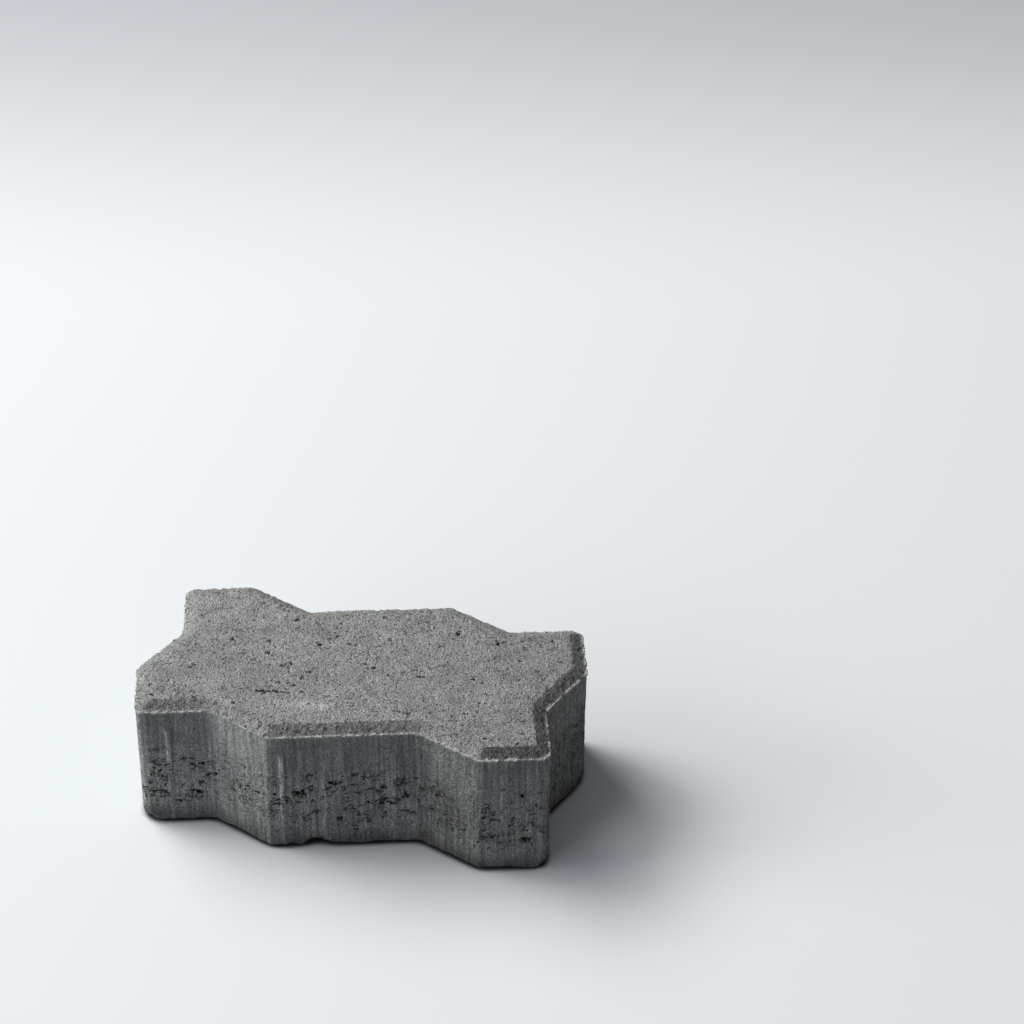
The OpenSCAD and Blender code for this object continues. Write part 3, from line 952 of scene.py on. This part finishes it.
# floor: pale to the camera, greyer for the light that it sends back
floorLook = {
    "half": 4.0,
    "tone": (0.765, 0.794, 0.815, 1.0),
    # painted shade: the floor darkens towards the back, sooner on the left, as the light falls off
    "backShade": (0.455, 0.468, 0.490, 1.0),
    "fade": (0.49, 1.09),       # where it darkens, in metres towards the back
    "lean": 0.2,                # and how much sooner on the left
    # painted contact shade on the floor under the stone's edge
    "gap": 0.005,               # how close under the stone's edge it turns dark
    "gapEdge": (0.32, 0.82),    # how open the gap is where it is darkest and where it is pale
    "gapShare": 0.06,           # what is left of the tone in the gap
    "bounce": (0.24, 0.25, 0.27, 1.0),
    "roughness": 0.9,
    "gloss": 0.1,
}


def buildFloor():
    h = floorLook["half"]
    mesh = bpy.data.meshes.new("floor")
    mesh.from_pydata([(-h, -h, 0.0), (h, -h, 0.0), (h, h, 0.0), (-h, h, 0.0)], [], [(0, 1, 2, 3)])
    floor = bpy.data.objects.new("floor", mesh)
    bpy.context.scene.collection.objects.link(floor)
    material = bpy.data.materials.new("paleFloor")
    material.use_nodes = True
    tree = material.node_tree
    shader = tree.nodes["Principled BSDF"]
    shader.inputs["Roughness"].default_value = floorLook["roughness"]
    shader.inputs["Specular IOR Level"].default_value = floorLook["gloss"]
    seen = addNode(tree, "ShaderNodeLightPath").outputs["Is Camera Ray"]
    split = addNode(tree, "ShaderNodeSeparateXYZ")
    tree.links.new(addNode(tree, "ShaderNodeTexCoord").outputs["Object"], split.inputs["Vector"])
    # painted shade of the light's falloff towards the back
    away = minus(tree, split.outputs["Y"], times(tree, split.outputs["X"], floorLook["lean"]))
    back = spanOf(tree, away, *floorLook["fade"], 0.0, 1.0)
    tone = mixOf(tree, back, floorLook["tone"], floorLook["backShade"])
    # painted contact shade where the floor runs under the stone
    openness = addNode(tree, "ShaderNodeAmbientOcclusion", samples=8)
    openness.inputs["Distance"].default_value = floorLook["gap"]
    contactShade = spanOf(tree, openness.outputs["AO"], *floorLook["gapEdge"], floorLook["gapShare"], 1.0)
    tone = mixOf(tree, 1.0, tone, contactShade, "MULTIPLY")
    tree.links.new(mixOf(tree, seen, floorLook["bounce"], tone), shader.inputs["Base Color"])
    mesh.materials.append(material)


buildFloor()
print("floor laid")

# soft light from the left, low and high: turn from the left towards the back, height, power
lamps = {
    "far": 5.0,
    "size": 2.25,
    "frontFrom": -20,       # lamps turned further to the front than this take the front colour
    "frontColor": (0.95, 0.98, 1.07),
    "leftColor": (1.0, 1.0, 0.99),
    "places": [
        (-10, 20, 104.0), (-35, 20, 31.0), (-60, 20, 30.0),
        (15, 42, 118.0), (15, 62, 51.0), (40, 42, 84.0),
    ],
    "worldColor": (0.96, 0.98, 1.02, 1.0),
    "worldStrength": 0.155,
}


def buildLamps():
    for n, (turn, lift, power) in enumerate(lamps["places"]):
        data = bpy.data.lights.new("softLight%d" % n, "AREA")
        data.shape = "DISK"
        data.size = lamps["size"]
        data.energy = power
        data.color = lamps["frontColor"] if turn < lamps["frontFrom"] else lamps["leftColor"]
        light = bpy.data.objects.new("softLight%d" % n, data)
        bpy.context.scene.collection.objects.link(light)
        a, e = math.radians(turn), math.radians(lift)
        away = Vector((-math.cos(a) * math.cos(e), math.sin(a) * math.cos(e), math.sin(e)))
        light.location = away * lamps["far"]
        light.rotation_euler = away.to_track_quat("Z", "Y").to_euler()
    world = bpy.data.worlds.new("studio")
    world.use_nodes = True
    sky = world.node_tree.nodes["Background"]
    sky.inputs["Color"].default_value = lamps["worldColor"]
    sky.inputs["Strength"].default_value = lamps["worldStrength"]
    bpy.context.scene.world = world


buildLamps()
print("lamps hung")

# camera of the photograph: place in metres, angles in radians, focal length in picture widths
viewpoint = {
    "place": (0.26396, -1.21263, 1.06473),
    "yaw": -0.15005,
    "pitch": 0.61908,
    "roll": -0.00912,
    "focal": 2945.0 / 1024.0,
}


def buildCamera():
    data = bpy.data.cameras.new("camera")
    data.sensor_width = 36.0
    data.lens = viewpoint["focal"] * data.sensor_width
    data.clip_start = 0.01
    camera = bpy.data.objects.new("camera", data)
    bpy.context.scene.collection.objects.link(camera)
    yaw, pitch, roll = viewpoint["yaw"], viewpoint["pitch"], viewpoint["roll"]
    ahead = Vector((math.sin(yaw) * math.cos(pitch), math.cos(yaw) * math.cos(pitch), -math.sin(pitch)))
    right = Vector((math.cos(yaw), -math.sin(yaw), 0.0))
    down = ahead.cross(right)
    rightRolled = right * math.cos(roll) + down * math.sin(roll)
    downRolled = down * math.cos(roll) - right * math.sin(roll)
    turn = Matrix((rightRolled, -downRolled, -ahead)).transposed().to_4x4()
    camera.matrix_world = Matrix.Translation(viewpoint["place"]) @ turn
    bpy.context.scene.camera = camera


buildCamera()
bpy.context.scene.view_settings.view_transform = "Standard"
print("scene ready")
